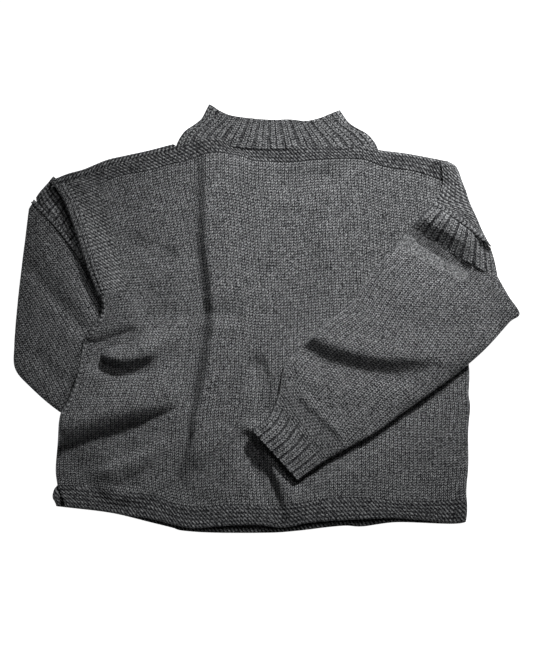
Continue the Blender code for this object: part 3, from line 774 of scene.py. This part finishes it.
class Nodes:
    """Short ways to lay out a material."""

    def __init__(self, name):
        self.material = bpy.data.materials.new(name)
        self.material.use_nodes = True
        self.tree = self.material.node_tree
        self.shader = self.tree.nodes["Principled BSDF"]

    def add(self, kind, **settings):
        node = self.tree.nodes.new("ShaderNode" + kind)
        for key, value in settings.items():
            if key in node.inputs:
                node.inputs[key].default_value = value
            else:
                setattr(node, key, value)
        return node

    def link(self, out, into):
        self.tree.links.new(out, into)

    def math(self, operation, *values):
        node = self.tree.nodes.new("ShaderNodeMath")
        node.operation = operation
        for socket, value in zip(node.inputs, values):
            if hasattr(value, "is_linked"):
                self.link(value, socket)
            else:
                socket.default_value = value
        return node.outputs[0]

    def sum(self, *parts):
        """The sum of parts, each an output and its weight."""
        total = 0.0
        for out, weight in parts:
            total = self.math("MULTIPLY_ADD", out, weight, total)
        return total


def wool(name, shade):
    """Heathered wool: fine light and dark fibres, painted shade between the stitches, and a soft nap."""
    nodes = Nodes(name)
    place = nodes.add("UVMap", uv_map="stitch")
    split = nodes.add("SeparateXYZ")
    nodes.link(place.outputs[0], split.inputs[0])
    u, v = split.outputs[0], split.outputs[1]
    where = nodes.add("TexCoord").outputs["Object"]
    # The stitch height: where it is low the wool is painted darker, as painted shade
    out = nodes.add("Attribute", attribute_name="out").outputs["Fac"]

    def noise(scale, detail):
        texture = nodes.add("TexNoise", Scale=scale, Detail=detail, Roughness=0.7)
        nodes.link(where, texture.inputs["Vector"])
        return texture.outputs["Fac"]

    leg = nodes.add("CombineXYZ")
    nodes.link(nodes.math("FLOOR", nodes.math("MULTIPLY", u, 2.0)), leg.inputs[0])
    nodes.link(nodes.math("FLOOR", v), leg.inputs[1])
    chance = nodes.add("TexWhiteNoise", noise_dimensions="2D")
    nodes.link(leg.outputs[0], chance.inputs["Vector"])
    flecks, fibres = noise(FLECK_SCALE, 0.0), noise(FIBRE_SCALE, 2.0)
    # Random tone of the fibres, plus painted shade from the stitch height; shade shifts the whole, as
    # painted light or shade in some looks
    tone_and_shade = nodes.sum(
        (out, PAINTED_STITCH_SHADE), (flecks, FLECK_TONE), (noise(CLOUD_SCALE, 2.0), CLOUD_TONE),
        (chance.outputs["Value"], CHANCE_TONE),
        (1.0, shade - (FLECK_TONE + CLOUD_TONE + CHANCE_TONE) / 2))
    ramp = nodes.add("ValToRGB")
    ramp.color_ramp.elements[0].position = 0.0
    ramp.color_ramp.elements[0].color = (*DARK_WOOL, 1)
    ramp.color_ramp.elements[1].position = 1.0
    ramp.color_ramp.elements[1].color = (*LIGHT_WOOL, 1)
    middle = ramp.color_ramp.elements.new(0.5)
    middle.color = (*[0.30 * a + 0.70 * b for a, b in zip(LIGHT_WOOL, DARK_WOOL)], 1)
    nodes.link(tone_and_shade, ramp.inputs["Fac"])
    nodes.link(ramp.outputs["Color"], nodes.shader.inputs["Base Color"])
    nodes.shader.inputs["Roughness"].default_value = 0.95
    nodes.shader.inputs["Specular IOR Level"].default_value = 0.12
    nodes.shader.inputs["Sheen Weight"].default_value = 0.10
    nodes.shader.inputs["Sheen Roughness"].default_value = 0.6
    nodes.shader.inputs["Sheen Tint"].default_value = (0.75, 0.78, 0.82, 1)
    twist = nodes.math("SINE", nodes.math("MULTIPLY", nodes.sum((u, 3.0), (v, 2.2)), 2 * math.pi))
    bump = nodes.add("Bump", Strength=0.6, Distance=0.0007)
    nodes.link(nodes.sum((out, 0.5), (twist, 0.07), (fibres, 0.5)), bump.inputs["Height"])
    nodes.link(bump.outputs["Normal"], nodes.shader.inputs["Normal"])
    return nodes.material


# The same wool in copies whose tones differ as painted light and shade: the garter and rib copies darker,
# as painted shade, and the band copy as light as the plain one, as painted light on the armhole bands.
PLAIN_LOOK = (wool("plain_wool", 0.02), "plain_knit")
GARTER_LOOK = (wool("garter_wool", -0.12), "garter_knit")
RIB_LOOK = (wool("rib_wool", -0.03), "rib_knit")
LIT_BAND_LOOK = (wool("lit_band_wool", 0.02), "garter_knit")


# The pieces

def under_right_sleeve(x, y):
    return depth_inside(RIGHT_SLEEVE[:-1] + RIGHT_CUFF, x, y)


def evenly(start, end, count):
    """down_of for courses spread evenly between two lines of the body."""
    return lambda v: start + (end - start) * v / count


def armhole_down(v):
    """down_of for the armhole border: through the top band, and on into the panel."""
    below = (v - BAND_RIDGES) * GARTER_RIDGE / (WELT_TOP[2][1] - BAND_EDGE[1][1])
    return np.where(v < BAND_RIDGES, v / BAND_RIDGES, 1 + below)


def make_front():
    start = ARMHOLE_WALES
    front_corner = (FRONT_WELT_CORNER, FRONT_HEM)

    def shown(x, y, u):
        beside = (u >= start) | (y > ARMHOLE_BAND_END - BAND_OVERLAP)
        return beside & (under_right_sleeve(x, y) < SHOWN_UNDER_SLEEVE)

    def hidden(x, y, u):
        return under_right_sleeve(x, y) > PLAIN_UNDER_SLEEVE

    front = body_piece(
        "front_knit", (0, BODY_WALES), PANEL_COURSES, evenly(1, 2, PANEL_COURSES), Plain, PLAIN_LOOK,
        *front_corner, keep=shown)
    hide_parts("front")
    body_piece(
        "front_under_sleeve", (0, BODY_WALES), PANEL_COURSES, evenly(1, 2, PANEL_COURSES), Smooth,
        PLAIN_LOOK, *front_corner, per_wale=0.5, keep=hidden)
    band = body_piece(
        "band_knit", (start, BODY_WALES), BAND_RIDGES, evenly(0, 1, BAND_RIDGES), Garter, GARTER_LOOK,
        *front_corner)
    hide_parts("top_band_front")
    welt = body_piece(
        "welt_knit", (0, BODY_WALES), WELT_RIDGES, evenly(2, 3, WELT_RIDGES), Garter, GARTER_LOOK,
        *front_corner)
    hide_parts("welt_front")
    armhole = body_piece(
        "armhole_knit", (0, start), ARMHOLE_RIDGES, armhole_down, Edged, LIT_BAND_LOOK, *front_corner)
    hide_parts("armhole_band_left")


def back_top(x, y):
    """The upper side of the back layer, where its welt shows below the front's."""
    edge = body_edge(x, y, BACK_HEM)
    off_x, off_y = (x - CURL[0]) / CURL_REACH[0], (y - CURL[1]) / CURL_REACH[1]
    curl = CURL_RISE * np.exp(-(off_x**2) - off_y**2)
    return under_lift(x, y) + WALL * (0.5 + 0.5 * edge) + curl, edge


def back_bottom(x, y):
    """The underside of the back layer."""
    return under_lift(x, y) + WALL / 2 * (1 - body_edge(x, y, BACK_HEM)), 0 * x


def make_back():
    back = body_piece(
        "back_knit", (0, BODY_WALES), BACK_COURSES, evenly(0, 2, BACK_COURSES), Smooth, PLAIN_LOOK,
        FRONT_WELT_CORNER, FRONT_HEM, per_wale=1, top=back_bottom)
    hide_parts("back")
    welt = body_piece(
        "back_welt_knit", (0, BODY_WALES), WELT_RIDGES, evenly(2, 3, WELT_RIDGES), Garter, GARTER_LOOK,
        BACK_WELT_CORNER, BACK_HEM, top=back_top)
    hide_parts("welt_back")


def flat_floor(x, y):
    """The height that the left sleeve rests at."""
    return np.zeros(np.shape(x))


def rolled(share, way):
    """The roll at the head of the right sleeve: high at once, then falling, and flat at its right end."""
    roll = ROLL * np.interp(way, *zip(*ROLL_PROFILE))
    return roll * smooth(1.25 - 1.3 * share) - ROLL_DROP * smooth(1.6 * share - 0.6)


def cuff_rise(share, way):
    """The right cuff: level with the sleeve at first, and lifted at its outer corner."""
    return (SLEEVE_PUFF - CUFF_PUFF) * smooth(1 - 3 * way) + CUFF_LIFT * way**2 * (1 - share)


def make_sleeves():
    right = tube_piece(
        "sleeve_right_knit", RIGHT_SLEEVE, over_body, SLEEVE_PUFF, Plain, PLAIN_LOOK,
        folds=RIGHT_SLEEVE_FOLDS)
    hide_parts("sleeve_right")
    cuff = tube_piece(
        "cuff_right_knit", RIGHT_CUFF, over_body, CUFF_PUFF, Cuffed, RIB_LOOK, ribs=CUFF_RIBS, lip=True,
        raised=cuff_rise)
    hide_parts("cuff_right")
    top = tube_piece(
        "sleeve_top_right_knit", RIGHT_TOP, over_body, SLEEVE_TOP_PUFF, Ribbed, RIB_LOOK,
        ribs=CUFF_RIBS, scallop=SCALLOP, raised=rolled)
    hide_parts("sleeve_top_right")
    left = tube_piece(
        "sleeve_left_knit", LEFT_SLEEVE, flat_floor, SLEEVE_PUFF, Plain, PLAIN_LOOK,
        folds=LEFT_SLEEVE_FOLDS)
    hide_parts("sleeve_left")
    cuff = tube_piece(
        "cuff_left_knit", LEFT_CUFF, flat_floor, CUFF_PUFF, Ribbed, RIB_LOOK, ribs=CUFF_RIBS, per_wale=2,
        lip=True)
    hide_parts("cuff_left")


def make_collar():
    """A flattened ribbed tube, its foot on the neck line and its rim above it."""
    wales, courses = COLLAR_RIBS * 4, COLLAR_COURSES
    u, v = np.linspace(0, wales, wales * 4 + 1), np.linspace(0, courses, courses * 2 + 1)
    u, v = np.meshgrid(u, v)
    share = u / wales
    up = 1 - np.clip(v - Ribbed.reach(u, v), 0, courses) / courses
    up[0], up[-1] = 1, 0
    foot_x = COLLAR_FOOT[0] + (COLLAR_FOOT[1] - COLLAR_FOOT[0]) * share
    foot_y = y_on(SHOULDER_LINE, foot_x) + 2
    rim = spline(COLLAR_RIM, 8 * len(COLLAR_RIM))
    rim_x = rim[0, 0] + (rim[-1, 0] - rim[0, 0]) * share
    rim_y = np.interp(rim_x, rim[:, 0], rim[:, 1])
    bulge = spline(COLLAR_BULGE, 12 * len(COLLAR_BULGE))
    to_side = 2 * share - 1
    x = foot_x + (rim_x - foot_x) * up
    x = x + np.interp(up, bulge[:, 0], bulge[:, 1]) * to_side * np.abs(to_side) ** BULGE_POWER
    y = foot_y + (rim_y - foot_y) * up
    from_edge = np.minimum(x - x[:, :1], x[:, -1:] - x)
    height = 2 * WALL + SEAM + COLLAR_LOFT + COLLAR_RIM_RISE * up
    edge = rounded(from_edge)
    half = height / 2 * edge
    lift, out = stood(SoftRibbed, u, v, edge)
    upper = world(x, y, height / 2 + half + lift)
    lower = world(x, y, height / 2 - half)[:, -5:0:-4]
    stitch = np.stack([u, v], axis=-1)
    points = np.concatenate([upper, lower], axis=1)
    stitches = np.concatenate([stitch, stitch[:, -5:0:-4] + [wales, 0]], axis=1)
    out = np.concatenate([out, out[:, -5:0:-4]], axis=1)
    made = mesh_piece("collar_knit", points, stitches, out, *RIB_LOOK, ring=True)
    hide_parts("collar")


def turned_piece(name, rows, height, ridges, look, sunk=0.0):
    """A garter strip that turns over a fold, its ridges running along it, sunk at its inner edge."""
    inner_x, inner_y, fold_x, fold_y = (rows[:, column : column + 1] for column in range(4))
    width = np.hypot(fold_x - inner_x, fold_y - inner_y)
    upper_share = np.linspace(0, 1, ridges * 5 + 1)
    steps = np.hypot(*np.diff(rows[:, 2:], axis=0).T)
    travelled = np.concatenate([[0], np.cumsum(steps)])[:, None] / WALE
    u, v = travelled + 0 * upper_share, 0.5 + upper_share * ridges + 0 * travelled

    def side(share, sign):
        half = height / 2 * rounded((1 - share) * width)
        x = inner_x + (fold_x - inner_x) * share
        y = inner_y + (fold_y - inner_y) * share
        return x, y, height / 2 + sign * half

    x, y, z = side(upper_share + 0 * u, 1)
    z = z - sunk * (1 - smooth(upper_share * width / SUNK_REACH))
    lift, out = stood(Garter, u, v, rounded((1 - upper_share) * width))
    low_share = np.array([0.99, 0.96, 0.9, 0.8, 0.6, 0.3, 0.0])
    points = np.concatenate([world(x, y, z + lift), world(*side(low_share, -1))], axis=1)
    low_v = ridges + (1 - low_share) * ridges + 0 * travelled
    low_stitch = np.stack([travelled + 0 * low_v, low_v], axis=-1)
    stitch = np.concatenate([np.stack([u, v], axis=-1), low_stitch], axis=1)
    out = np.concatenate([out, np.full(low_v.shape, 0.5)], axis=1)
    return mesh_piece(name, points, stitch, out, *look)


def make_turned_edges():
    """The back's armhole band, turned over at the right, and its yoke, turned over the left shoulder."""
    rows = spline(RIGHT_TURN, 140)
    reach = np.linspace(0, 1, len(rows))[:, None]
    height = YOKE_TURN_HEIGHT + (TURN_HEIGHT - YOKE_TURN_HEIGHT) * smooth(reach / 0.12)
    sunk = TURN_SUNK * smooth((0.6 - reach) / 0.3)
    made = turned_piece("armhole_turn_knit", rows, height, TURN_RIDGES, LIT_BAND_LOOK, sunk)
    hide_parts("armhole_band_right")
    fold = spline(YOKE_FOLD, 160)
    seam_x = np.linspace(52, YOKE_END + 6, 150)
    seam_y = y_on(SHOULDER_LINE, seam_x) + 0.5
    fold_x = fold[0, 0] + (fold[-1, 0] - fold[0, 0]) * (seam_x - seam_x[0]) / np.ptp(seam_x)
    fold_y = np.interp(fold_x, fold[:, 0], fold[:, 1])
    rows = np.column_stack([seam_x, seam_y, fold_x, fold_y])
    made = turned_piece("yoke_knit", rows, YOKE_TURN_HEIGHT, YOKE_RIDGES, GARTER_LOOK)
    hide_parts("yoke_back")


def make_left_top():
    """The ribbed strip between the left sleeve and the armhole, low beside the armhole."""
    rows = spline(LEFT_TOP, STRIP_RIBS * 16 + 1)
    across = STRIP_COURSES * 2 + 1
    u, v = np.meshgrid(np.linspace(0, STRIP_RIBS * 4, len(rows)), np.linspace(0, STRIP_COURSES, across))
    width = np.hypot(rows[:, 2] - rows[:, 0], rows[:, 3] - rows[:, 1])
    place = -STRIP_TUCKS[0] + (width + sum(STRIP_TUCKS)) * v / STRIP_COURSES
    share = place / width
    x = rows[:, 0] + (rows[:, 2] - rows[:, 0]) * share
    y = rows[:, 1] + (rows[:, 3] - rows[:, 1]) * share
    from_sleeve = np.interp(place, *zip(*STRIP_BY_SLEEVE))
    from_body = np.interp(width - place, *zip(*STRIP_BY_BODY))
    lift, out = stood(Ribbed, u, v, 1)
    z = np.maximum(np.minimum(from_sleeve, from_body) + lift, LOWEST)
    points, stitch = world(x, y, z), np.stack([u, v], axis=-1)
    made = mesh_piece("sleeve_top_left_knit", points, stitch, out, *RIB_LOOK)
    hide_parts("sleeve_top_left")


def make_chains():
    """Chained seams: down the side of the body, around the right armhole and along the left sleeve."""
    def front_base(x, y):
        return front_top(x, y)[0]

    def level(height):
        return lambda x, y: np.full(np.shape(x), height)

    right, left = level(RIGHT_CHAIN_HEIGHT), level(LEFT_CHAIN_HEIGHT)
    chain_piece("side_chain", SIDE_CHAIN, 5.0, 5.0, 0.0022, front_base, PLAIN_LOOK)
    chain_piece("armhole_chain_right", RIGHT_CHAIN, 5.0, 4.2, 0.0024, right, PLAIN_LOOK)
    chain_piece("sleeve_chain_left", LEFT_CHAIN, 4.6, 3.6, 0.0030, left, PLAIN_LOOK)


make_front()
make_back()
make_sleeves()
make_collar()
make_turned_edges()
make_left_top()
make_chains()


# Floor, light and camera

def make_floor():
    mesh = bpy.data.meshes.new("floor")
    mesh.from_pydata([(-6, -6, 0), (6, -6, 0), (6, 6, 0), (-6, 6, 0)], [], [(0, 1, 2, 3)])
    floor = bpy.data.objects.new("floor", mesh)
    bpy.context.scene.collection.objects.link(floor)
    nodes = Nodes("floor_paper")
    nodes.shader.inputs["Base Color"].default_value = (0.9, 0.9, 0.9, 1)
    nodes.shader.inputs["Roughness"].default_value = 0.9
    nodes.shader.inputs["Emission Color"].default_value = (1, 1, 1, 1)
    nodes.shader.inputs["Emission Strength"].default_value = 1.0
    mesh.materials.append(nodes.material)


def lamp(name, kind, place, target, size, power, cone=None):
    """A soft lamp; a cone in degrees makes it a spot that fades towards its rim."""
    light = bpy.data.lights.new(name, kind)
    light.energy = power
    if kind == "AREA":
        light.size = size
    else:
        light.shadow_soft_size = size
        light.spot_size = math.radians(cone)
        light.spot_blend = 1
    made = bpy.data.objects.new(name, light)
    bpy.context.scene.collection.objects.link(made)
    made.location = place
    way = np.array(target, float) - np.array(place, float)
    pitch = math.atan2(math.hypot(way[0], way[1]), -way[2])
    made.rotation_euler = (pitch, 0, math.atan2(-way[0], way[1]))


def make_camera():
    data = bpy.data.cameras.new("camera")
    data.sensor_fit = "VERTICAL"
    data.sensor_height = 24
    data.lens = data.sensor_height * CAMERA_DISTANCE / (PICTURE[1] * UNIT)
    data.clip_end = 20
    made = bpy.data.objects.new("camera", data)
    bpy.context.scene.collection.objects.link(made)
    middle_x, middle_y = PICTURE[0] / 2 - CENTRE[0], CENTRE[1] - PICTURE[1] / 2
    made.location = (middle_x * UNIT, middle_y * UNIT, CAMERA_DISTANCE + SHARP_HEIGHT)
    bpy.context.scene.camera = made


make_floor()
lamp("key", "SPOT", place=(0.64, 1.21, 1.0), target=(0.08, 0.05, 0), size=0.12, power=111.0, cone=36)
lamp("pool", "AREA", place=(0.04, 0.18, 0.55), target=(0.04, 0.14, 0), size=0.16, power=0.5)
world_light = bpy.data.worlds.new("studio")
world_light.use_nodes = True
world_light.node_tree.nodes["Background"].inputs["Color"].default_value = (1, 1, 1, 1)
world_light.node_tree.nodes["Background"].inputs["Strength"].default_value = 0.02
bpy.context.scene.world = world_light
make_camera()
bpy.context.scene.view_settings.view_transform = "Standard"
